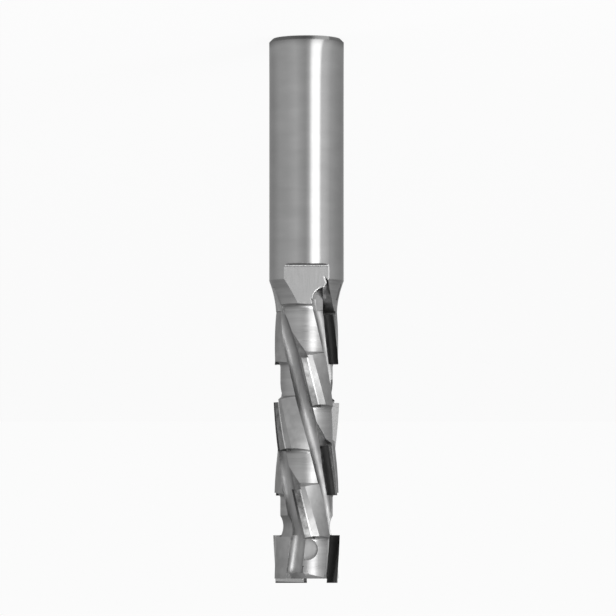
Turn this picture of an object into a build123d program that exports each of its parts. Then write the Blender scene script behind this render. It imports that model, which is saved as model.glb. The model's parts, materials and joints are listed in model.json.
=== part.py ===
from build123d import *
from math import atan2, cos, degrees, radians, sin, sqrt, tan
import os

# Shank-type router cutter with brazed diamond-faced tips, in millimetres.
# It stands on the end of its shank: the origin is the centre of that end face, and +Z runs along
# the axis to the cutting end. Azimuths are in degrees about +Z, and the cutter turns towards
# +azimuth. Flutes 0 and 2 carry the odd rows of tips, flutes 1 and 3 the even ones.

# Shank and neck
SHANK_D = 20.0
SHANK_CHAMFER = 1.0
SHANK_LENGTH = 65.0       # at full diameter, from the end face to the neck
NECK_BELOW = 0.85         # the neck's radius is this much less than the cutting radius
NECK_LENGTH = 8.3
NECK_HOLLOW = 0.35        # depth of the neck's hollow arc below its chord
CENTRE_DRILL_D = 2.5
CENTRE_DRILL_DEPTH = 5.0
CENTRE_DRILL_POINT = 118.0
CENTRE_CONE_D = 5.0
CENTRE_CONE_ANGLE = 60.0

# Two flats beside the neck
FLAT_BELOW = 0.15         # the flats are cut this far below the neck
FLAT_EARLY = 4.0          # they start this far before the neck
FLAT_LENGTH = 11.9
FLAT_FILLET = 0.8

# Teeth and gullets
CUT_D = 18.0
RELIEF_DEPTH = 2.0        # of a tooth's land below the edge in a row where it carries no tip
BAND_HEIGHT = 1.5         # from the end of the first two gullets to the end of the body
FLUTES = 4
FLUTE_LEAD = 163.6        # length of one full turn of the gullets, from the neck to the turn
TURN_LEAD = 288.0         # the same past the turn, where they go round the other way
TURN_LATE = 0.45          # the turn lies this far into the last row
FIRST_EDGE_AZIMUTH = 223.0    # of flute 0 at the top of row 1
RAKE = 8.0
GRIND_CLEARANCE = 21.0    # of the facet ground on each tip and on the steel behind it
GRIND_WIDTH = 4.3
BACK_R = 14.8             # radius of the arc behind that facet
BACK_CLEARANCE = 48.0     # of that arc where it leaves the facet
GULLET_R = 2.0
GULLET_DEPTH = 3.8
ENTRY_R = 3.2             # end mill that enters the first two gullets
ENTRY_AFTER = 5.2         # from the end of the shank to that mill's axis
ENTRY_AHEAD = 3.0         # degrees from the edge to that mill's axis
ENTRY_WALL = 4.36         # from the cutter's axis to the flat wall beside the mill's cut
ENTRY_WALL_TURN = -43.0   # degrees from the first edge to the way that wall faces away
LATE_GULLET_LIFT = 3.6    # the other two fade in: this is how shallow they start
LATE_GULLET_AFTER = 2.0   # from the end of the shank to their start
LATE_GULLET_FADE = 1.5    # power of the curve on which they deepen
LAST_SLOT_WIDER = 6.0     # degrees by which the first two gullets are wider past the turn

# Rows of tips
ROWS = 6
FIRST_ROW_AFTER = 1.0     # from the start of the teeth to the first row
ROW_PITCH = 11.65
TIP_LENGTH = 13.1
TIP_DEPTH = 3.1
TIP_THICKNESS = 2.2
DIAMOND_THICKNESS = 0.5
TIP_SHEAR = 13.0
LAST_SHEAR = -12.0        # the last row cuts the other way
LAST_AHEAD = 6.5          # and its tips stand this many degrees ahead of their teeth
LAST_LATE = 0.4           # and start this much later
TIP_PROUD = 1.15          # how far the last tips stand past the end of the body
CHIP_FRONT = 1.0          # a pocket is cut this far ahead of the tip's face
FIRST_WEDGE = 17.0        # slope of a pocket's run-out towards the shank, in the first row
WEDGE = 22.4              # and in the other rows
FOOT_HEIGHT = 3.0         # of the foot that takes one last tip to the axis
FOOT_PAST_AXIS = 0.3

# Relieved zones between the raised lands
LAND_SHORT = 0.7          # a raised land stops this far short of its tips' end
LAND_EARLY = 0.3          # and starts this far before its tips
LAST_LAND_LATE = 0.4      # but after them in the last row
STEP_FILLET = 1.4
STEP_SLOPE = 34.0
WAIST_LENGTH = 5.6        # round groove above the last row
WAIST_DEPTH = 0.8
CHAMFER_ANGLE = 40.0      # from the axis, at the end of the teeth that carry no tip there
CHAMFER_HEIGHT = 0.7      # in the middle of such a tooth
CHAMFER_SLANT = 11.5      # it is higher towards the front of the tooth
CHAMFER_BEHIND = 40.0     # degrees from the edge back to that middle
CHAMFER_AHEAD = 14.0      # degrees by which it runs on past the middle of the gullet ahead
RECESS_R = 2.85           # round pocket left by the mill that cuts the seats of row 5
RECESS_DEPTH = 1.4        # below the relieved land
RECESS_BEHIND = 10.0      # degrees from the edge back to that mill's axis
RECESS_AFTER = 3.8        # from the start of the last row to that mill's axis

CLEAR = 0.5               # a cutter overlaps the open space beside it by this much

CUT_R = CUT_D / 2
SHANK_R = SHANK_D / 2
FAR = SHANK_R + 4.0       # beyond every surface
NECK_R = CUT_R - NECK_BELOW
FLAT_DISTANCE = NECK_R - FLAT_BELOW
RELIEVED_R = CUT_R - RELIEF_DEPTH
GULLET_FLOOR_R = CUT_R - GULLET_DEPTH
TEETH_START = SHANK_LENGTH + NECK_LENGTH
FLAT_START = SHANK_LENGTH - FLAT_EARLY
ENTRY_Z = SHANK_LENGTH + ENTRY_AFTER
LATE_GULLET_START = SHANK_LENGTH + LATE_GULLET_AFTER
ROW_START = TEETH_START + FIRST_ROW_AFTER
PITCH_ANGLE = 360 / FLUTES
BODY_END = ROW_START + (ROWS - 1) * ROW_PITCH + TIP_LENGTH - TIP_PROUD
BAND_START = BODY_END - BAND_HEIGHT
TURN_Z = ROW_START + (ROWS - 1) * ROW_PITCH + TURN_LATE
FLUTE_TWIST = -360 / FLUTE_LEAD    # degrees for each millimetre
TURN_TWIST = 360 / TURN_LEAD
LAST = ROWS - 1
TIPS = [(row, flute) for row in range(ROWS) for flute in (row % 2, row % 2 + 2)]


def polar(r, azimuth, z=0.0):
    return Vector(r * cos(radians(azimuth)), r * sin(radians(azimuth)), z)


def azimuth_of(point):
    return degrees(atan2(point.Y, point.X))


def edge_azimuth(flute, z):
    before = FLUTE_TWIST * (min(z, TURN_Z) - ROW_START)
    after = TURN_TWIST * max(z - TURN_Z, 0)
    return FIRST_EDGE_AZIMUTH + flute * PITCH_ANGLE + before + after


def row_start(row):
    return ROW_START + row * ROW_PITCH + (LAST_LATE if row == LAST else 0)


def row_end(row):
    return ROW_START + row * ROW_PITCH + TIP_LENGTH


def facet_point(width, lift=0.0):
    """A point of the ground facet behind an edge at azimuth 0, or at a height above it."""
    return polar(CUT_R, 0) - polar(width, 90 - GRIND_CLEARANCE) + polar(lift, -GRIND_CLEARANCE)


LAND_CENTRE = facet_point(GRIND_WIDTH) - polar(BACK_R, -BACK_CLEARANCE)


def outer_edge():
    """Where the rake face of an edge at azimuth 0 meets the land before it is ground."""
    along = polar(1, RAKE)
    offset = polar(CUT_R, 0) - LAND_CENTRE
    half = offset.dot(along)
    return polar(CUT_R, 0) + along * (sqrt(half**2 - offset.dot(offset) + BACK_R**2) - half)


def gullet_centre():
    """Centre of the gullet ahead of an edge at azimuth 0, tangent to the rake face."""
    ahead = GULLET_R - CUT_R * sin(radians(RAKE))
    along = sqrt((GULLET_FLOOR_R + GULLET_R) ** 2 - ahead**2)
    return polar(along, RAKE) + polar(ahead, RAKE + 90)


GULLET_CENTRE = gullet_centre()
GULLET_LEAD = azimuth_of(GULLET_CENTRE)


def land_point(azimuth):
    """The point of the land behind an edge at azimuth 0 that lies at the given azimuth."""
    along = polar(1, azimuth).dot(LAND_CENTRE)
    return polar(along + sqrt(along**2 + BACK_R**2 - LAND_CENTRE.dot(LAND_CENTRE)), azimuth)


def heel_point():
    """Where the land behind an edge at azimuth 0 runs into the next gullet."""
    gullet = GULLET_CENTRE.rotate(Axis.Z, -PITCH_ANGLE)
    span = gullet - LAND_CENTRE
    along = (BACK_R**2 - GULLET_R**2 + span.length**2) / (2 * span.length)
    across = sqrt(BACK_R**2 - along**2)
    unit = span.normalized()
    return LAND_CENTRE + unit * along + Vector(-unit.Y, unit.X, 0) * across


def tooth_section(turn, open_gullets):
    """Section across the teeth, with the edge of flute 0 at azimuth turn.

    A gullet that isn't open is left full: there the land runs on to the next tooth's edge.
    """
    heel = heel_point()
    floor = polar(GULLET_FLOOR_R, GULLET_LEAD - PITCH_ANGLE)
    foot = (GULLET_CENTRE - polar(GULLET_R, RAKE + 90)).rotate(Axis.Z, -PITCH_ANGLE)
    edge = outer_edge()
    next_edge = edge.rotate(Axis.Z, -PITCH_ANGLE)
    edges = []
    for flute in range(FLUTES):
        land_end = heel
        arcs = [(heel, floor, foot)]
        wall_start = foot
        if (flute - 1) % FLUTES not in open_gullets:
            land_end = land_point(-PITCH_ANGLE)
            arcs = []
            wall_start = land_end
        middle = land_point((azimuth_of(edge) + azimuth_of(land_end)) / 2)
        arcs.append((edge, middle, land_end))
        around = turn + flute * PITCH_ANGLE
        for arc in arcs:
            edges.append(ThreePointArc(*[point.rotate(Axis.Z, around) for point in arc]))
        edges.append(Line(wall_start.rotate(Axis.Z, around), next_edge.rotate(Axis.Z, around)))
    return make_face(edges)


def twisted(section, z0, z1, twist):
    """A flat section, drawn from z0 to z1 while it turns by twist degrees for each millimetre."""
    base = Pos(0, 0, z0) * section
    if twist < 0:
        base = mirror(base, Plane.XZ)
    solid = Solid.extrude_linear_with_rotation(
        base.faces()[0], (0, 0, z0), (0, 0, z1 - z0), abs(twist) * (z1 - z0)
    )
    return mirror(solid, Plane.XZ) if twist < 0 else solid


def shank():
    """Turned shank and neck, down to where the teeth begin, with a centre drilling in its end."""
    half_neck = ((SHANK_R + NECK_R) / 2 - NECK_HOLLOW, TEETH_START - NECK_LENGTH / 2)
    outline = [
        Polyline((0, TEETH_START), (0, 0), (SHANK_R - SHANK_CHAMFER, 0), (SHANK_R, SHANK_CHAMFER),
                 (SHANK_R, SHANK_LENGTH)),
        ThreePointArc((SHANK_R, SHANK_LENGTH), half_neck, (NECK_R, TEETH_START)),
        Line((NECK_R, TEETH_START), (0, TEETH_START)),
    ]
    solid = revolve(Plane.XZ * make_face(outline), Axis.Z)
    drill_r = CENTRE_DRILL_D / 2
    cone_depth = (CENTRE_CONE_D / 2 - drill_r) / tan(radians(CENTRE_CONE_ANGLE / 2))
    point = drill_r / tan(radians(CENTRE_DRILL_POINT / 2))
    hole = make_face(Polyline(
        (0, 0), (CENTRE_CONE_D / 2, 0), (drill_r, cone_depth), (drill_r, CENTRE_DRILL_DEPTH),
        (0, CENTRE_DRILL_DEPTH + point), (0, 0)))
    return solid - revolve(Plane.XZ * hole, Axis.Z)


def flats():
    """Cutters for the two flats, each with the mill's corner radius at its upper end."""
    size = FAR - FLAT_DISTANCE
    cutter = Pos(0, -FLAT_DISTANCE - size / 2, FLAT_START + FLAT_LENGTH / 2) * Box(
        2 * FAR, size, FLAT_LENGTH)
    inner = cutter.edges().filter_by(Axis.X).sort_by(Axis.Y)[-2:].sort_by(Axis.Z)[0]
    cutter = fillet(inner, FLAT_FILLET)
    return [cutter, Rot(0, 0, 180) * cutter]


def gullet_section(turn, lift=0.0):
    """The open space of one gullet, ahead of an edge at azimuth turn, lifted off the axis."""
    heel = heel_point().rotate(Axis.Z, PITCH_ANGLE)
    floor = polar(GULLET_FLOOR_R, GULLET_LEAD)
    foot = GULLET_CENTRE - polar(GULLET_R, RAKE + 90)
    edges = [
        ThreePointArc(heel, floor, foot),
        Polyline(foot, foot + polar(FAR - GULLET_FLOOR_R, RAKE),
                 heel + polar(FAR - GULLET_FLOOR_R, azimuth_of(heel)), heel),
    ]
    return Rot(0, 0, turn) * Pos(*polar(lift, GULLET_LEAD)) * make_face(edges)


def radial_mill(radius, azimuth, z, floor_r):
    """The cut of an end mill whose axis points at the cutter's axis."""
    length = FAR - floor_r
    start = polar(floor_r, azimuth, z)
    return Plane(start, z_dir=polar(1, azimuth)) * Pos(0, 0, length / 2) * Cylinder(radius, length)


def beyond_entry_wall(flute):
    """The space beyond the flat wall beside a gullet's entry."""
    turn = FIRST_EDGE_AZIMUTH + flute * PITCH_ANGLE + ENTRY_WALL_TURN
    return Rot(0, 0, turn) * Pos(ENTRY_WALL + FAR, 0, SHANK_LENGTH) * Box(
        2 * FAR, 4 * FAR, 2 * SHANK_LENGTH)


def gullet_entries():
    """Where the gullets come out of the neck: two start at once, the other two fade in."""
    cutters = []
    for flute in (0, 2):
        section = gullet_section(edge_azimuth(flute, ENTRY_Z))
        cutters.append(twisted(section, ENTRY_Z, TEETH_START, FLUTE_TWIST))
        azimuth = edge_azimuth(flute, ENTRY_Z) + ENTRY_AHEAD
        mill = radial_mill(ENTRY_R, azimuth, ENTRY_Z, GULLET_FLOOR_R)
        cutters.append(mill - beyond_entry_wall(flute))
        wider = gullet_section(edge_azimuth(flute, TURN_Z) - LAST_SLOT_WIDER)
        cutters.append(twisted(wider, TURN_Z, BAND_START, TURN_TWIST))
    end = row_start(1)
    for flute in (1, 3):
        wires = []
        for share in (0.0, 0.4, 0.75, 1.0):
            z = LATE_GULLET_START + share * (end - LATE_GULLET_START)
            lift = LATE_GULLET_LIFT * (1 - share) ** LATE_GULLET_FADE
            section = Pos(0, 0, z) * gullet_section(edge_azimuth(flute, z), lift)
            wires.append(section.faces()[0].outer_wire())
        cutters.append(Solid.make_loft(wires))
    return cutters


def relief_ring(z0, z1, sloped, waist):
    """A turned groove between two raised lands, filleted at one end."""
    rise = (FAR - RELIEVED_R) * tan(radians(STEP_SLOPE)) if sloped else 0
    top = z1 - (STEP_FILLET if sloped else 0)
    face = make_face(Polyline((FAR, z0), (RELIEVED_R, z0), (RELIEVED_R, top), (FAR, top + rise),
                              close=True))
    corner = face.vertices().sort_by(Axis.X)[:2].sort_by(Axis.Y)[0]
    face = fillet(corner, STEP_FILLET)
    if waist:
        radius = (WAIST_LENGTH**2 / 4 + WAIST_DEPTH**2) / (2 * WAIST_DEPTH)
        disc = Pos(RELIEVED_R - WAIST_DEPTH + radius, z1 - WAIST_LENGTH / 2) * Circle(radius)
        strip = Pos(RELIEVED_R, z1 - WAIST_LENGTH / 2) * Rectangle(2 * WAIST_DEPTH, WAIST_LENGTH)
        face = (face + (disc & strip)).faces()[0]
    return revolve(Plane.XZ * face, Axis.Z)


def tooth_sector(flute, z0, z1, ahead=0.0):
    """All the space that belongs to one tooth, from the gullet ahead of it to the one behind."""
    corners = [polar(0, 0)]
    for azimuth in (ahead, -PITCH_ANGLE / 2, -PITCH_ANGLE):
        corners.append(polar(2 * FAR, GULLET_LEAD + azimuth))
    section = make_face(Polyline(*corners, close=True))
    twist = FLUTE_TWIST if z0 < TURN_Z else TURN_TWIST
    return twisted(Rot(0, 0, edge_azimuth(flute, z0)) * section, z0, z1, twist)


def end_chamfers():
    """Slanted chamfers at the end of the teeth that carry no tip in the last row."""
    height = 2 * BAND_HEIGHT
    change = height * tan(radians(CHAMFER_ANGLE))
    cone = Cone(RELIEVED_R + change, RELIEVED_R - change, 2 * height)
    ring = Cylinder(FAR, 2 * height) - cone
    cutters = []
    for flute in (0, 2):
        azimuth = edge_azimuth(flute, BAND_START) - CHAMFER_BEHIND
        middle = Plane((0, 0, BODY_END - CHAMFER_HEIGHT), x_dir=polar(1, azimuth), z_dir=(0, 0, 1))
        sector = tooth_sector(flute, BAND_START - BAND_HEIGHT, BODY_END + CLEAR, CHAMFER_AHEAD)
        cutters.append(middle * Rot(-CHAMFER_SLANT, 0, 0) * ring & sector)
    return cutters


def reliefs():
    """Cutters for the lands of every tooth in the rows where it carries no tip."""
    cutters = []
    for row in range(ROWS):
        z0 = row_end(row - 1) - LAND_SHORT
        z1 = row_start(row + 1) - LAND_EARLY
        if row == 0:
            z0 = FLAT_START + FLAT_LENGTH - STEP_FILLET
        if row == LAST - 1:
            z1 = row_start(LAST) + LAST_LAND_LATE
        if row == LAST:
            z1 = BODY_END + CLEAR
        ring = relief_ring(z0, z1, row < LAST - 1, row == LAST - 1)
        first = (row + 1) % 2
        for flute in (first, first + 2):
            cutters.append(ring & tooth_sector(flute, z0 - CLEAR, z1 + FAR / 2))
    return cutters


def tip_shear(row):
    return LAST_SHEAR if row == LAST else TIP_SHEAR


def tip_azimuth(row, flute):
    """Azimuth of a tip's edge at the middle of the tip."""
    ahead = LAST_AHEAD if row == LAST else 0
    return edge_azimuth(flute, (row_start(row) + row_end(row)) / 2) + ahead


def tip_frame(row, flute):
    """Plane of a tip's rake face, at the middle of its edge: x inwards, y along the edge."""
    azimuth = tip_azimuth(row, flute)
    shear = radians(tip_shear(row))
    outward = polar(1, azimuth)
    forward = polar(1, azimuth + 90) * cos(shear) + Vector(0, 0, sin(shear))
    inward = outward * -cos(radians(RAKE)) - forward * sin(radians(RAKE))
    normal = forward * cos(radians(RAKE)) - outward * sin(radians(RAKE))
    middle = polar(CUT_R, azimuth, (row_start(row) + row_end(row)) / 2)
    return Plane(middle, x_dir=inward, z_dir=normal)


def slab(z0, z1):
    return Pos(0, 0, (z0 + z1) / 2) * Box(4 * FAR, 4 * FAR, z1 - z0)


def block(x0, x1, z0, z1, length=2 * TIP_LENGTH):
    return Pos((x0 + x1) / 2, 0, (z0 + z1) / 2) * Box(x1 - x0, length, z1 - z0)


def facet_prism(row, flute, z0, z1, corners):
    """A section beside the ground facet of a tip, drawn along the tip's leaning edge."""
    twist = -degrees(tan(radians(tip_shear(row))) / CUT_R)
    middle = (row_start(row) + row_end(row)) / 2
    turn = tip_azimuth(row, flute) + twist * (z0 - middle)
    section = make_face(Polyline(*[facet_point(*corner) for corner in corners], close=True))
    return twisted(Rot(0, 0, turn) * section, z0, z1, twist)


def under_facet(row, flute):
    """The space inside the ground facet of a tip, which the tip fills."""
    corners = [(-CUT_R / 2, 0), (CUT_R, 0), (CUT_R, -2 * CUT_R), (-CUT_R / 2, -2 * CUT_R)]
    return facet_prism(row, flute, row_start(row) - CLEAR, row_end(row) + CLEAR, corners)


def facet_cuts():
    """The grinding of the steel behind each tip, in one pass with the tip."""
    cutters = []
    for row, flute in TIPS:
        corners = [(-GRIND_WIDTH / 2, 0), (2 * GRIND_WIDTH, 0), (2 * GRIND_WIDTH, FAR / 2),
                   (-GRIND_WIDTH / 2, FAR / 2)]
        z0 = row_start(row) - (0 if row == LAST else STEP_FILLET + LAND_EARLY)
        cutters.append(facet_prism(row, flute, z0, row_end(row), corners))
    return cutters


def carries_foot(row, flute):
    return row == LAST and flute == 3


def seat_depth(row, flute):
    if carries_foot(row, flute):
        return CUT_R * cos(radians(RAKE)) + FOOT_PAST_AXIS
    return TIP_DEPTH


def tip_pocket(row, flute):
    """The milled seat of a tip, with the run-out that the mill leaves towards the shank."""
    z0 = row_start(row)
    z1 = row_end(row)
    frame = tip_frame(row, flute)
    seat = frame * block(-FAR / 2, TIP_DEPTH, -TIP_THICKNESS, CHIP_FRONT) & slab(z0, z1)
    cutters = [seat]
    if row < LAST:
        top = (z1 - z0) / 2 / cos(radians(TIP_SHEAR))
        reach = (TIP_THICKNESS + CHIP_FRONT) / tan(radians(FIRST_WEDGE if row == 0 else WEDGE))
        side = Plane.YZ * make_face(Polyline(
            (2 * CLEAR - top, -TIP_THICKNESS), (-top, -TIP_THICKNESS), (-top - reach, CHIP_FRONT),
            (2 * CLEAR - top, CHIP_FRONT), close=True))
        depth = 2 * TIP_DEPTH if row == 0 else TIP_DEPTH
        wedge = extrude(side, depth) + extrude(side, -FAR / 2)
        run_out = frame * wedge & slab(z0 - 2 * reach, z0)
        cutters.append(run_out & beyond_entry_wall(flute) if row == 0 else run_out)
    if carries_foot(row, flute):
        foot = frame * block(TIP_DEPTH - CLEAR, seat_depth(row, flute), -TIP_THICKNESS, CHIP_FRONT)
        cutters.append(foot & slab(z1 - FOOT_HEIGHT, z1))
    return cutters


def recesses():
    """Round pockets that the mill leaves where it turns, after the seats of the row before last."""
    z = row_start(LAST) + RECESS_AFTER
    floor_r = RELIEVED_R - RECESS_DEPTH
    return [radial_mill(RECESS_R, edge_azimuth(flute, z) - RECESS_BEHIND, z, floor_r)
            for flute in (0, 2)]


def tip_layer(row, flute, back, front):
    """One layer of a tip, between two distances from its rake face."""
    z1 = row_end(row)
    frame = tip_frame(row, flute)
    layer = frame * block(-FAR / 2, TIP_DEPTH, back, front) & slab(row_start(row), z1)
    if carries_foot(row, flute):
        foot = frame * block(-FAR / 2, seat_depth(row, flute), back, front)
        layer = layer + (foot & slab(z1 - FOOT_HEIGHT, z1))
    return layer & under_facet(row, flute)


def body():
    """The one-piece steel body: shank, neck, teeth, gullets and the seats of the tips."""
    stretches = [
        (TEETH_START, row_start(1), FLUTE_TWIST, (0, 2)),
        (row_start(1), TURN_Z, FLUTE_TWIST, (0, 1, 2, 3)),
        (TURN_Z, BAND_START, TURN_TWIST, (0, 1, 2, 3)),
        (BAND_START, BODY_END, TURN_TWIST, (1, 3)),
    ]
    solid = shank()
    for cutter in flats():
        solid -= cutter
    for z0, z1, twist, open_gullets in stretches:
        solid += twisted(tooth_section(edge_azimuth(0, z0), open_gullets), z0, z1, twist)
    for cutter in gullet_entries() + facet_cuts() + reliefs() + end_chamfers() + recesses():
        solid -= cutter
    for row, flute in TIPS:
        for cutter in tip_pocket(row, flute):
            solid -= cutter
    return solid


def two_places(number):
    return str(number).zfill(2)


def main():
    os.makedirs("parts", exist_ok=True)
    export_step(body(), "parts/cutter_body.step")
    for number, (row, flute) in enumerate(TIPS, start=1):
        base = tip_layer(row, flute, -TIP_THICKNESS, -DIAMOND_THICKNESS)
        diamond = tip_layer(row, flute, -DIAMOND_THICKNESS, 0)
        export_step(base, f"parts/carbide_base_{two_places(number)}.step")
        export_step(diamond, f"parts/diamond_layer_{two_places(number)}.step")


main()
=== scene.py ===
# %% [markdown]
# A diamond-tipped router cutter on a white table. The solid model holds the cutter's true shape and
# sizes, and this lesson gives it its looks. The shape could be modelled again in Blender, but then
# every seat would have to be measured twice. So the model is loaded as a fixed frame in metres,
# with every solid at its place, and nothing in this lesson moves it.

# %% Load the frame
import json
import math

import bmesh
import bpy
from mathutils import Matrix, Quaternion, Vector

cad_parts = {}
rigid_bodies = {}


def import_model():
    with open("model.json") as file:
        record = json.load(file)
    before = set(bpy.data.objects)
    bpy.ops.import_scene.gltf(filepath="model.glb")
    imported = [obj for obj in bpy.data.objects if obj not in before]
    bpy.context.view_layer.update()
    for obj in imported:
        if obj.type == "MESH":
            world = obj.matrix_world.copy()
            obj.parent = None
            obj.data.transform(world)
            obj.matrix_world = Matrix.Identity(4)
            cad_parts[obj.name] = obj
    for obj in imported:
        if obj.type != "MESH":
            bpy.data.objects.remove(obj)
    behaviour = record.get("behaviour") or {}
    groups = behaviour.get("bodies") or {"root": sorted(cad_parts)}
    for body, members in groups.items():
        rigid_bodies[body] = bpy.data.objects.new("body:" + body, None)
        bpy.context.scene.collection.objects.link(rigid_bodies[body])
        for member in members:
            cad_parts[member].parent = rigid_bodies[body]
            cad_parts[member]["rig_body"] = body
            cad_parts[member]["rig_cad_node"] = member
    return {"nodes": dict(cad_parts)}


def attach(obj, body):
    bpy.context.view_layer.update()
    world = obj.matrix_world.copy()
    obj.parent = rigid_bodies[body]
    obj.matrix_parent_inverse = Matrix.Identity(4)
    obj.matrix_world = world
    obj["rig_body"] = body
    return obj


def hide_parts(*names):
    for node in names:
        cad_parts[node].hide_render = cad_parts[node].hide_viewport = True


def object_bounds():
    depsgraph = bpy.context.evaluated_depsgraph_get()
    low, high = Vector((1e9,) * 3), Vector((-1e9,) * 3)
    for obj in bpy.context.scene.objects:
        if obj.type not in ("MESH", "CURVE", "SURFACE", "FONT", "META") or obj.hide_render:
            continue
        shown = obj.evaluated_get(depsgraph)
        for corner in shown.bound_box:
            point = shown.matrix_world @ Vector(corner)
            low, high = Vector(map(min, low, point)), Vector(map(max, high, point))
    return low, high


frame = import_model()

mm = 0.001
cad_low, cad_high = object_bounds()
print("solids:", len(frame["nodes"]))
print("box in mm:", [round(v / mm, 2) for v in (*cad_low, *cad_high)])

# %% [markdown]
# The lands between the tips are turned down to a smaller radius than the tips' edges, so that only
# the tips touch the wood. Near the cutting end, the solid keeps a small fin on each of the two
# teeth without a tip, where the real land is turned off all the way. The fins could be cut off, but
# that would leave holes to fill. So the points that stand out there are drawn in to the land's
# radius, and back to the edge of the tooth, which turns round the axis as it rises.

# %% Draw in the two fins
relieved_radius = 7.0 * mm
stands_out = relieved_radius + 0.02 * mm
fin_start = 134.5 * mm
fin_side, other_fin_side = 80, 118
turn_height = 133.0 * mm
turn_lead = 288.0 * mm
edge_at_turn = 91.5


def draw_in_fins(mesh):
    """Move the fins' points onto the land, and return which they are and how they face now."""
    moved = {}
    for vertex in mesh.vertices:
        x, y, z = vertex.co
        azimuth = math.degrees(math.atan2(y, x)) % 180
        beside_a_fin = z >= fin_start and fin_side < azimuth < other_fin_side
        if not beside_a_fin or math.hypot(x, y) < stands_out:
            continue
        edge = edge_at_turn + 360 * (z - turn_height) / turn_lead
        turned = math.radians(min(azimuth, edge))
        side = 1 if y > 0 else -1
        moved[vertex.index] = Vector((math.cos(turned), math.sin(turned), 0)) * side
        vertex.co = moved[vertex.index] * relieved_radius + Vector((0, 0, z))
    return moved


print("land across in mm:", round(2 * relieved_radius / mm, 2))

# %% [markdown]
# The body is one piece of steel with several finishes, because it went to the lathe, the milling
# machine and the grinder one after the other. It could be cut into a piece for each finish, but the
# real one has no joints there. A solid has one material, so the body is copied instead, and the
# copy takes a finish for each of its faces. The solid's mesh is loose triangles that carry the
# exact direction of the surface at each corner. Merging them would lose those directions, so they
# are noted down first.


# %% Copy a solid and note its directions
def noted_copy(node, name):
    source = frame["nodes"][node]
    piece = source.copy()
    piece.data = source.data.copy()
    piece.name = piece.data.name = name
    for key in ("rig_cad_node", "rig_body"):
        if key in piece:
            del piece[key]
    bpy.context.scene.collection.objects.link(piece)
    piece.data.materials.clear()
    noted = [corner.vector.copy() for corner in piece.data.corner_normals]
    moved = draw_in_fins(piece.data)
    directions = piece.data.attributes.new("direction", "FLOAT_VECTOR", "CORNER")
    for note, direction, corner in zip(directions.data, noted, piece.data.loops):
        note.vector = moved.get(corner.vertex_index, direction)
    print(name, "points drawn in:", len(moved), "of", len(piece.data.vertices))
    return piece


# %% [markdown]
# Points that lie on top of each other are merged now, which closes the copy into one skin. A merge
# by hand stops at a thousandth of a millimetre, and there it swallows the tiniest real edges and
# leaves slits beside them. The mesh tools for scripts merge at a tenth of that. The corners then
# get their directions back, and the copy takes the solid's place in the picture.

# %% Merge the copy's points
merging_distance = 0.0001 * mm


def closed_copy(node, name):
    piece = noted_copy(node, name)
    shape = bmesh.new()
    shape.from_mesh(piece.data)
    bmesh.ops.remove_doubles(shape, verts=shape.verts, dist=merging_distance)
    print(name, "open edges:", sum(len(edge.link_faces) != 2 for edge in shape.edges))
    shape.to_mesh(piece.data)
    shape.free()
    kept = [tuple(note.vector) for note in piece.data.attributes["direction"].data]
    piece.data.normals_split_custom_set(kept)
    piece.data.attributes.remove(piece.data.attributes["direction"])
    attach(piece, "root")
    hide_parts(node)
    return piece


body = closed_copy("cutter_body", "steel_body")
print("points after the merge:", len(body.data.vertices))

# %% [markdown]
# A finish is a tree of nodes, each of which works out one thing and hands it on. The nodes could be
# placed by hand in the shader editor, one socket at a time. Here one helper adds a node and fills
# its inputs, so that a whole finish reads as a few lines.


# %% Helpers for nodes
def fill(tree, socket, value):
    """Link what another node gives, or write a plain value on the socket."""
    if isinstance(value, bpy.types.NodeSocket):
        tree.links.new(value, socket)
    else:
        socket.default_value = value


def add(tree, kind, inputs, output=0, operation=None):
    """Add a node, fill its inputs by name or number, and return one of its outputs."""
    node = tree.nodes.new("ShaderNode" + kind)
    if operation:
        node.operation = operation
    for name, value in inputs.items():
        fill(tree, node.inputs[name], value)
    return node.outputs[output]


def calculate(tree, operation, first, second):
    return add(tree, "Math", {0: first, 1: second}, operation=operation)


def new_finish(name, metallic=0.0):
    material = bpy.data.materials.new(name)
    material.use_nodes = True
    tree = material.node_tree
    shader = tree.nodes["Principled BSDF"]
    fill(tree, shader.inputs["Metallic"], metallic)
    print("finish:", name)
    return material, tree, shader


# %% [markdown]
# Bare metal has hardly any colour of its own: it shows its surroundings, and its roughness and the
# fine marks of the tool tell how it was made. So each steel here is a metallic surface with a
# pattern of lines, which roughens it and raises tiny bumps. Real steel also varies a little from
# place to place, through handling and oil, so a second pattern of clouds shifts its grey. Edges are
# broken by a few hundredths of a millimetre, and catch the light. They could be cut into the mesh,
# but the Bevel node gives them that round with no more faces.

# %% Helpers for steel
edge_break = 0.08 * mm
middle_range = {"From Min": 0.3, "From Max": 0.7}


def marks(tree, scale, detail, turn=(0, 0, 0)):
    """A pattern of waves: scale gives the waves for each metre along x, y and z."""
    place = add(tree, "TexCoord", {}, "Object")
    mapped = add(tree, "Mapping", {"Vector": place, "Rotation": turn, "Scale": scale})
    return add(tree, "TexNoise", {"Vector": mapped, "Scale": 1.0, "Detail": detail})


def spread(tree, pattern, low, high):
    """The pattern's middle range, spread out between two values."""
    inputs = {"Value": pattern, **middle_range, "To Min": low, "To Max": high}
    return add(tree, "MapRange", inputs)


def paint_grey(tree, shader, level):
    colour = add(tree, "CombineColor", {"Red": level, "Green": level, "Blue": level})
    fill(tree, shader.inputs["Base Color"], colour)


def raise_marks(tree, shader, pattern, strength, height, edge_round=edge_break):
    edges = add(tree, "Bevel", {"Radius": edge_round})
    bumps = {"Normal": edges, "Height": pattern, "Strength": strength, "Distance": height}
    fill(tree, shader.inputs["Normal"], add(tree, "Bump", bumps))


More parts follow.
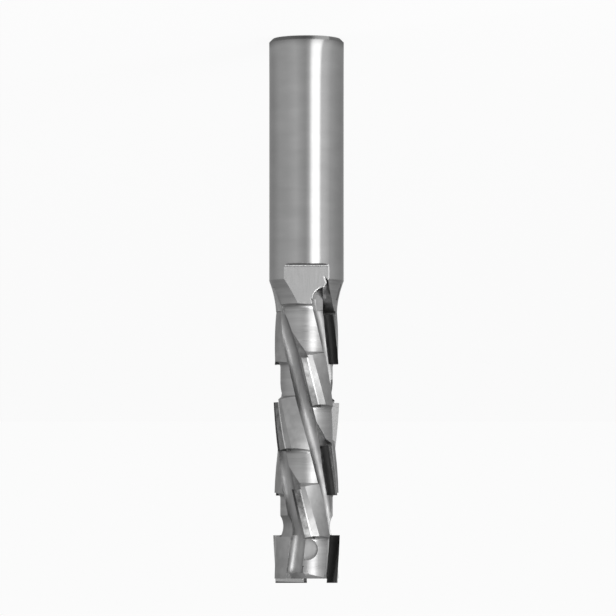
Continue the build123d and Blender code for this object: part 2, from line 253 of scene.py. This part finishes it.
def steel(name, lines, roughness, grey, strength, height, clouds=None, edge_round=edge_break):
    """A metal with lines that roughen and raise it. Without clouds, the lines carry the grey."""
    material, tree, shader = new_finish(name, metallic=1.0)
    pattern = marks(tree, *lines)
    fill(tree, shader.inputs["Roughness"], spread(tree, pattern, *roughness))
    shift = marks(tree, *clouds) if clouds else pattern
    paint_grey(tree, shader, spread(tree, shift, *grey))
    raise_marks(tree, shader, pattern, strength, height, edge_round)
    return material


print("edges are broken by", round(edge_break / mm, 2), "mm")

# %% [markdown]
# The shank has to fit a collet to a few thousandths of a millimetre, so it is ground all round.
# The wheel leaves very fine rings, and the surface is smooth enough to mirror the room as soft
# upright bands. A wave texture could draw the rings, but too evenly. So the noise is stretched a
# lot across the axis and kept fine along it. The wide edge break softens the end of the shank.

# %% Ground shank
soft_edge = 0.4 * mm
ground_shank = steel(
    "ground_shank",
    lines=((200, 200, 8000), 4.0), roughness=(0.11, 0.18),
    clouds=((90, 90, 240), 2.0), grey=(0.41, 0.46),
    strength=0.12, height=0.002 * mm, edge_round=soft_edge,
)

# %% [markdown]
# The neck and the lands are turned, and the point of the turning tool leaves a fine thread of
# rings, coarser and deeper than a grinding wheel's. A real thread could be cut into the mesh, but
# it would take far too many faces. So the rings stay a pattern, with wider waves along the axis,
# higher bumps and a rougher surface than the shank's.

# %% Turned steel
turned_steel = steel(
    "turned_steel",
    lines=((40, 40, 2600), 3.0), roughness=(0.26, 0.40),
    clouds=((60, 60, 700), 3.0), grey=(0.38, 0.50),
    strength=0.3, height=0.012 * mm,
)

# %% [markdown]
# The two flats beside the neck are face-milled, which leaves faint arcs. The arcs could be drawn
# round the middle of the milling head, but on so small a flat they are nearly straight. So plain
# lines do, turned by 35 degrees. They carry the grey too, and it is the lightest of all the steels.

# %% Milled flats
lean_of_marks = math.radians(35)
milled_flat = steel(
    "milled_flat",
    lines=((3200, 120, 260), 3.0, (0, lean_of_marks, 0)),
    roughness=(0.18, 0.24), grey=(0.61, 0.64),
    strength=0.06, height=0.004 * mm, edge_round=soft_edge,
)

# %% [markdown]
# The backs of the teeth are ground in one pass with the tips. The grains of the wheel leave short
# scratches. Each back could have its own pattern, turned to lie along the tooth, but the scratches
# are too small to tell. So one pattern serves them all, fine every way and duller than the shank.
# The places where the mill enters a gullet are milled, but take this grey too, as painted light.

# %% Ground backs, and painted light on the gullet entries
ground_back_and_lit_entry = steel(
    "ground_back_and_lit_entry",
    lines=((1400, 1400, 3600), 3.0), roughness=(0.32, 0.46),
    clouds=((500, 500, 500), 4.0), grey=(0.36, 0.46),
    strength=0.25, height=0.006 * mm,
)

# %% [markdown]
# The gullets carry the chips away. A ball-nosed mill cuts them along the helix, and the chips rub
# them dull. The marks could follow the helix, but it is so steep that straight ones look alike. So
# this pattern is the other way round, fine across the axis and long along it.

# %% Milled gullets
gullet_steel = steel(
    "gullet_steel",
    lines=((1300, 1300, 160), 3.0), roughness=(0.44, 0.58),
    clouds=((260, 260, 180), 4.0), grey=(0.30, 0.41),
    strength=0.2, height=0.01 * mm,
)

# %% [markdown]
# The lands are turned and ground clean after brazing. The bottom of a seat and the slope where
# the mill ran out are recesses, and their darker grey is painted shade, for the shadow and the
# dark reflections that fall into them. The grey could have a pattern for each thing it does, but
# one pattern makes it dark, dull and raised at one place.

# %% Seats darkened by painted shade
# The dark grey of the seats is painted shade.
painted_shade_seat = steel(
    "painted_shade_seat",
    lines=((700, 700, 700), 5.0),
    roughness=(0.26, 0.50), grey=(0.15, 0.30),
    strength=0.3, height=0.02 * mm,
)

# %% [markdown]
# To find the seats, each tip's carbide base is measured. The places could be typed in, but measured
# ones stay right if the solids change. The base's largest face gives the way it faces, its longest
# edge gives the way it lies, and their cross product points out of the seat. Those three directions
# make a small frame of its own, in which the seat is a plain block.

# %% Measure the tips
flat_on_the_face = 0.001


def middle_of(mesh):
    return sum((v.co for v in mesh.vertices), Vector()) / len(mesh.vertices)


def turned_towards(direction, target):
    return -direction if direction.dot(target) < 0 else direction


def measure_tip(number):
    base = frame["nodes"]["carbide_base_" + number].data
    layer = frame["nodes"]["diamond_layer_" + number].data
    middle = middle_of(base)
    largest = max(base.polygons, key=lambda face: face.area)
    facing = turned_towards(largest.normal.copy(), middle_of(layer) - middle)
    edges = [base.vertices[a].co - base.vertices[b].co for a, b in base.edge_keys]
    face_edges = [edge for edge in edges if abs(edge.normalized().dot(facing)) < flat_on_the_face]
    longest = max(face_edges, key=lambda edge: abs(edge.z)).normalized()
    along = turned_towards(longest, Vector((0, 0, 1)))
    outward = turned_towards(along.cross(facing), Vector((middle.x, middle.y, 0)))
    return {
        "number": number,
        "facing": facing,
        "along": along,
        "outward": outward,
        "face": max(v.co.dot(facing) for v in base.vertices),
        "bottom": min(v.co.dot(outward) for v in base.vertices),
        "start": min(v.co.dot(along) for v in base.vertices),
        "end": max(v.co.dot(along) for v in base.vertices),
    }


tips = [measure_tip(str(number).zfill(2)) for number in range(1, 13)]
print("tip length in mm:", round((tips[0]["end"] - tips[0]["start"]) / mm, 1))

# %% [markdown]
# A seat is milled along its tip, and the mill leaves it by a slope towards the shank, of 17 degrees
# in the first row and 22.4 in the others. Everything in the block round the tip could count as
# seat, but the gullet passes through the same block. So a face must also be the seat's bottom or
# one of those slopes. A narrow sliver of the neck, between each first seat and the start of its
# gullet, gets the same painted shade.

# %% Find the seats
base_thickness = 1.7 * mm
chip_room = 1.6 * mm
run_out = 11.0 * mm
slack = 0.1 * mm
bottom_squareness = 0.99
slope_slack = 0.002
first_slope, later_slope = 17.0, 22.4
first_slope_depth = 3.3 * mm
slopes = [(math.cos(math.radians(first_slope)), -first_slope_depth),
          (math.cos(math.radians(later_slope)), -slack)]
sliver_ahead = (1.4 * mm, 2.8 * mm)
sliver_before = (4.0 * mm, 8.1 * mm)


def between(value, limits):
    return limits[0] < value < limits[1]


def in_seat(point, normal):
    for tip in tips:
        depth = point.dot(tip["facing"]) - tip["face"]
        height = point.dot(tip["outward"]) - tip["bottom"]
        place = point.dot(tip["along"])
        if not -base_thickness - slack < depth < chip_room:
            continue
        if not tip["start"] - run_out < place < tip["end"]:
            continue
        if height > -slack and normal.dot(tip["outward"]) > bottom_squareness:
            return True
        for lean, lowest in slopes:
            if height > lowest and abs(normal.dot(tip["facing"]) - lean) < slope_slack:
                return True
    return False


def on_sliver(point):
    for tip in tips[:2]:
        ahead = point.dot(tip["facing"]) - tip["face"]
        before = tip["start"] - point.dot(tip["along"])
        if between(ahead, sliver_ahead) and between(before, sliver_before):
            return True
    return False


print("slopes of the seats in degrees:", first_slope, later_slope)

# %% [markdown]
# Now every face of the body gets its finish. The faces could be picked by hand, but there are
# thousands of them, so their place and the way they face decide. A flat faces the front or the
# back, and a face of the shank lies below the neck. A turned face looks straight away from the
# axis, and a ground back leans a little. What belongs to a seat gets the painted shade. The rest
# is gullet, except below the neck, where the gullet entries take the grey of the backs as painted
# light.

# %% Dress the body
shank_length = 65.0 * mm
neck_end = 73.3 * mm
flat_start = shank_length - 5.0 * mm
land_slack = 0.15 * mm
back_rise = 0.3 * mm
flat_squareness, land_squareness, neck_squareness, back_squareness = 0.999, 0.97, 0.9, 0.7
on_the_axis = 1e-9


def finish_of(face):
    centre = face.center
    radius = math.hypot(centre.x, centre.y)
    away = face.normal.x * centre.x + face.normal.y * centre.y
    squareness = away / max(radius, on_the_axis)
    if abs(face.normal.y) > flat_squareness and flat_start < centre.z < neck_end:
        return milled_flat
    if centre.z < shank_length:
        return ground_shank
    if squareness > land_squareness and abs(radius - relieved_radius) < land_slack:
        return turned_steel
    if centre.z < neck_end and squareness > neck_squareness and radius > relieved_radius:
        # The sliver of the neck beside each first seat gets the painted shade of the seats.
        return painted_shade_seat if on_sliver(centre) else turned_steel
    if in_seat(centre, face.normal):
        # Faces of a seat get the painted shade.
        return painted_shade_seat
    if squareness > back_squareness and radius > relieved_radius + back_rise:
        return ground_back_and_lit_entry
    # Below the neck, the gullet entries take the lighter grey of the backs, as painted light.
    return gullet_steel if centre.z > neck_end else ground_back_and_lit_entry


finishes = [ground_shank, turned_steel, milled_flat, ground_back_and_lit_entry, gullet_steel, painted_shade_seat]
for finish in finishes:
    body.data.materials.append(finish)
counts = [0] * len(finishes)
for face in body.data.polygons:
    face.material_index = finishes.index(finish_of(face))
    counts[face.material_index] += 1
print("faces by finish:", dict(zip([finish.name for finish in finishes], counts)))

# %% [markdown]
# Each tip is a bar of tungsten carbide with a thin layer of diamond grown on its face. Carbide is
# a grey sintered metal, which the wheel leaves light and a little mottled. Silver solder holds it
# in its seat, and shows as a thin bright line where bar and steel are ground in one pass. Near its
# end each bar gets a dark band, which is painted shade for the shadow line under the tip. The line
# could be a solid of its own, but it is thinner than a hair, so line and band are drawn by their
# distance along the tip's own directions.

# %% Carbide with its solder line and painted shade at its end
solder_starts, solder_is_full = 0.34 * mm, 0.26 * mm
solder_grey = 0.75
# The dark band near the end of each bar is painted shade.
painted_shade_end_starts, painted_shade_end_is_full = 0.85 * mm, 0.7 * mm
painted_shade_end_grey = 0.05


def past(tree, direction, none, full):
    """How far a point is past a place on a direction: nothing at the first, all at the second."""
    place = add(tree, "TexCoord", {}, "Object")
    distance = add(tree, "VectorMath", {0: place, 1: direction}, "Value", "DOT_PRODUCT")
    return add(tree, "MapRange", {"Value": distance, "From Min": none, "From Max": full})


def blend(tree, share, value, other):
    """A pattern that gives way to one grey as the share grows."""
    return add(tree, "MapRange", {"Value": share, "To Min": value, "To Max": other})


def carbide(tip):
    material, tree, shader = new_finish("carbide_" + tip["number"], metallic=1.0)
    grain = marks(tree, (1500, 1500, 1500), 5.0)
    fill(tree, shader.inputs["Roughness"], spread(tree, grain, 0.20, 0.36))
    raise_marks(tree, shader, grain, 0.15, 0.006 * mm)
    back, end = tip["face"] - base_thickness, tip["end"]
    solder = past(tree, tip["facing"], back + solder_starts, back + solder_is_full)
    # Painted shade: a dark band near the end of the bar.
    painted_shade_end = past(tree, tip["along"], end - painted_shade_end_starts, end - painted_shade_end_is_full)
    mottle = spread(tree, marks(tree, (650, 650, 650), 4.0), 0.14, 0.33)
    with_solder = blend(tree, solder, mottle, solder_grey)
    paint_grey(tree, shader, blend(tree, painted_shade_end, with_solder, painted_shade_end_grey))
    return material


carbides = [carbide(tip) for tip in tips]

# %% [markdown]
# The diamond layer is black and polished on its face, with the fine grain of its crystals. It is
# no metal, so it only shows a weak gloss. A clear diamond would bend light more and shine harder,
# but this is a baked mass of grit, so its index of refraction is set lower.

# %% Diamond
diamond, tree, shader = new_finish("diamond")
grit = marks(tree, (3000, 3000, 3000), 4.0)
fill(tree, shader.inputs["IOR"], 1.65)
fill(tree, shader.inputs["Roughness"], spread(tree, grit, 0.14, 0.26))
paint_grey(tree, shader, spread(tree, grit, 0.003, 0.006))

# %% [markdown]
# Bars and layers are brazed into their seats as they are. They could be copied like the body, but
# their shape is right and each has one finish, so the solids themselves take it.


# %% Dress the tips
def dress(node, finish):
    solid = frame["nodes"][node]
    solid.data.materials.clear()
    solid.data.materials.append(finish)


for tip, finish in zip(tips, carbides):
    dress("carbide_base_" + tip["number"], finish)
    dress("diamond_layer_" + tip["number"], diamond)
print("tips dressed:", len(tips))

# %% [markdown]
# The photograph was taken with a long lens from the front, and shows the cutter with its shank on
# top. The cutter stands on its shank here, so the camera is turned over instead. It stands level
# with the cutting end and looks a little down, which makes the shank's end fall out of sight as
# it does in the photograph. The distance sets how much the near side seems larger, and the lens is
# worked out so that one pixel of the photograph is the size measured on the shank. The view
# settings stay plain, so that a colour renders as it is written.

# %% Camera
photo_side = 616
metres_per_pixel = 0.26738 * mm
shank_end_row = 37.7
axis_left_of_middle = 1.5
camera_distance = 1.253
sensor = 36.0
cutter_length = cad_high.z
bpy.context.scene.view_settings.view_transform = "Standard"

rows_to_middle = photo_side / 2 - shank_end_row
aim = Vector((-axis_left_of_middle * metres_per_pixel, 0, rows_to_middle * metres_per_pixel))
camera_data = bpy.data.cameras.new("camera")
camera = bpy.data.objects.new("camera", camera_data)
bpy.context.scene.collection.objects.link(camera)
bpy.context.scene.camera = camera
camera.location = (aim.x, -camera_distance, cutter_length)
look = aim - camera.location
camera_data.sensor_width = sensor
camera_data.lens = sensor * look.length / (photo_side * metres_per_pixel)
camera_data.clip_start = 0.01
camera_data.clip_end = 50
camera.rotation_mode = "QUATERNION"
camera.rotation_quaternion = look.to_track_quat("-Z", "Y") @ Quaternion((0, 0, 1), math.pi)
print("lens in mm:", round(camera_data.lens, 1))

# %% [markdown]
# The room is white for whoever looks at it, the camera or the polished steel, while the light that
# it throws on the cutter stays plain. Stronger light could bleach a grey room to white, but it
# would bleach the cutter too. So Light Path tells which kind of ray asks.

# %% White room
seen_white = 0.965
thrown_light = 0.5


def seen_share(tree):
    """All for a ray of the camera or a mirror, and nothing for light that is thrown."""
    path = tree.nodes.new("ShaderNodeLightPath")
    share = path.outputs["Is Camera Ray"]
    for kind in ("Is Glossy Ray", "Is Transmission Ray"):
        share = calculate(tree, "MAXIMUM", share, path.outputs[kind])
    return share


world = bpy.data.worlds.new("white_room")
bpy.context.scene.world = world
world.use_nodes = True
tree = world.node_tree
background = tree.nodes["Background"]
levels = {"Value": seen_share(tree), "To Min": thrown_light, "To Max": seen_white}
fill(tree, background.inputs["Strength"], add(tree, "MapRange", levels))
fill(tree, background.inputs["Color"], (1, 1, 1, 1))
print("white of the room:", seen_white)

# %% [markdown]
# The cutter stands on a white table. Plain white paper would come out grey towards the back, and a
# table that only glows would show no shadow. So the glow covers most of it, and a small share of
# real paper stays under it, on which the cutter's shadow shows.

# %% Floor
floor_side = 6.0
paper_share = 0.08
paper_grey = 0.85
cool_tint = 1.01
bpy.ops.object.select_all(action="DESELECT")
bpy.ops.mesh.primitive_plane_add(size=floor_side, location=(0, 0, 0))
floor = bpy.context.object
floor.name = "floor"

paper, tree, shader = new_finish("floor_paper")
fill(tree, shader.inputs["Base Color"], (paper_grey, paper_grey, paper_grey * cool_tint, 1))
fill(tree, shader.inputs["Roughness"], 0.9)
fill(tree, shader.inputs["Specular IOR Level"], 0.1)
glow = add(tree, "Emission", {"Strength": 1.0})
share = calculate(tree, "MULTIPLY", seen_share(tree), 1 - paper_share)
surface = add(tree, "MixShader", {0: share, 1: shader.outputs[0], 2: glow})
fill(tree, tree.nodes["Material Output"].inputs["Surface"], surface)
floor.data.materials.append(paper)
print("floor side in m:", floor.dimensions.x)

# %% [markdown]
# Shiny metal is photographed inside a tent of cloth, because it shows whatever stands round it. A
# ring of lamps could do the same, but a tent lets each grey of the studio be set by its direction.
# The cloth is bright at the sides of the camera and darker where the camera looks in. A long
# softbox stands to its right, from 17 to 41 degrees. The back and the roof are dim, and a narrow
# window stands behind, which only the back of the cutter mirrors.

# %% Levels of the tent
around = [
    (-180, 0.80), (-168, 0.75), (-156, 0.36), (-120, 0.44), (-90, 0.60), (-60, 0.64), (-32, 0.76),
    (-14, 0.62), (-2, 0.54), (8, 0.80), (17, 2.30), (27, 2.60), (40, 2.40), (43, 1.05), (59, 0.94),
    (78, 0.66), (100, 0.52), (130, 0.40), (156, 0.36), (168, 0.75), (180, 0.80),
]
upwards = [(0.0, 1.0), (0.03, 1.0), (0.12, 0.86), (0.25, 0.62), (0.66, 0.46), (1.0, 0.36)]
brightest = max(level for degrees, level in around)


def ramp(tree, value, stops):
    """A colour ramp with a grey for each stop, where a stop's place runs from 0 to 1."""
    node = tree.nodes.new("ShaderNodeValToRGB")
    elements = node.color_ramp.elements
    for place, grey in stops[1:-1]:
        elements.new(place)
    for element, (place, grey) in zip(elements, stops):
        element.position = place
        element.color = (grey, grey, grey, 1)
    fill(tree, node.inputs["Fac"], value)
    return node.outputs["Color"]


print("tent levels:", len(around), "round the cutter, the brightest", brightest)

# %% [markdown]
# The tent is a drum round the cutter. Its levels could be painted on, but one ramp by the angle to
# the right of the camera and a second one by the height are easier to set. The bottom of the drum
# is a grey card over the table, darker in the shade of the cutter's foot. Only reflections show
# the tent, so it neither hides the white room nor throws light on the table.

# %% Tent
tent_radius = 2.0
tent_height = 3.0
above_floor = 0.1 * mm
tent_middle = tent_height / 2 + above_floor
foot_shade = {"From Min": 11 * mm, "From Max": 30 * mm, "To Min": 0.3}
bpy.ops.object.select_all(action="DESELECT")
bpy.ops.mesh.primitive_cylinder_add(vertices=128, radius=tent_radius, depth=tent_height,
                                    end_fill_type="TRIFAN", location=(0, 0, tent_middle))
tent = bpy.context.object
tent.name = "tent"
bpy.ops.object.transform_apply(location=True)
tent.visible_camera = False
tent.visible_diffuse = False
tent.visible_shadow = False

cloth, tree, shader = new_finish("tent_cloth")
tree.nodes.remove(shader)
place = add(tree, "TexCoord", {}, "Object")
split = tree.nodes.new("ShaderNodeSeparateXYZ")
fill(tree, split.inputs["Vector"], place)
right = calculate(tree, "MULTIPLY", split.outputs["X"], -1)
near = calculate(tree, "MULTIPLY", split.outputs["Y"], -1)
angle = calculate(tree, "ARCTAN2", right, near)
turn = calculate(tree, "ADD", calculate(tree, "DIVIDE", angle, 2 * math.pi), 0.5)
side = ramp(tree, turn, [((degrees + 180) / 360, level / brightest) for degrees, level in around])
rise = ramp(tree, calculate(tree, "DIVIDE", split.outputs["Z"], tent_height), upwards)
from_foot = add(tree, "VectorMath", {0: place}, "Value", "LENGTH")
shade = add(tree, "MapRange", {"Value": from_foot, **foot_shade})
strength = calculate(tree, "MULTIPLY", calculate(tree, "MULTIPLY", rise, shade), brightest)
light = add(tree, "Emission", {"Color": side, "Strength": strength})
fill(tree, tree.nodes["Material Output"].inputs["Surface"], light)
tent.data.materials.append(cloth)
print("tent across in m:", round(tent.dimensions.x, 2))

# %% [markdown]
# Two lamps with soft fronts light the table and throw the cutter's soft shadow. The first is the
# hot middle of the long softbox, which the polished face of a diamond tip mirrors when it is
# turned that way. The second hangs over the camera and lights what slopes towards it, such as the
# little radius at the end of each flat. Bare bulbs could throw the shadow too, but polished steel
# would show them as points. Both lamps face the middle of the cutter.

# %% Lamps
lamp_distance = 0.9


def softbox(name, angle, rise, width, tall, power):
    """A lamp at an angle to the right of the camera, and at an angle above the cutter's middle."""
    data = bpy.data.lights.new(name, "AREA")
    data.shape = "RECTANGLE"
    data.size = width
    data.size_y = tall
    data.energy = power
    lamp = bpy.data.objects.new(name, data)
    bpy.context.scene.collection.objects.link(lamp)
    aside, up = math.radians(angle), math.radians(rise)
    level = math.cos(up)
    outward = Vector((-math.sin(aside) * level, -math.cos(aside) * level, math.sin(up)))
    lamp.location = outward * lamp_distance + Vector((0, 0, cutter_length / 2))
    lamp.rotation_mode = "QUATERNION"
    lamp.rotation_quaternion = (-outward).to_track_quat("-Z", "Y")
    print(name, "stands at", [round(v, 2) for v in lamp.location])


softbox("hot_middle", 29, 27, 0.3, 0.36, 2.4)
softbox("over_camera", 0, 45, 0.5, 0.25, 1.0)
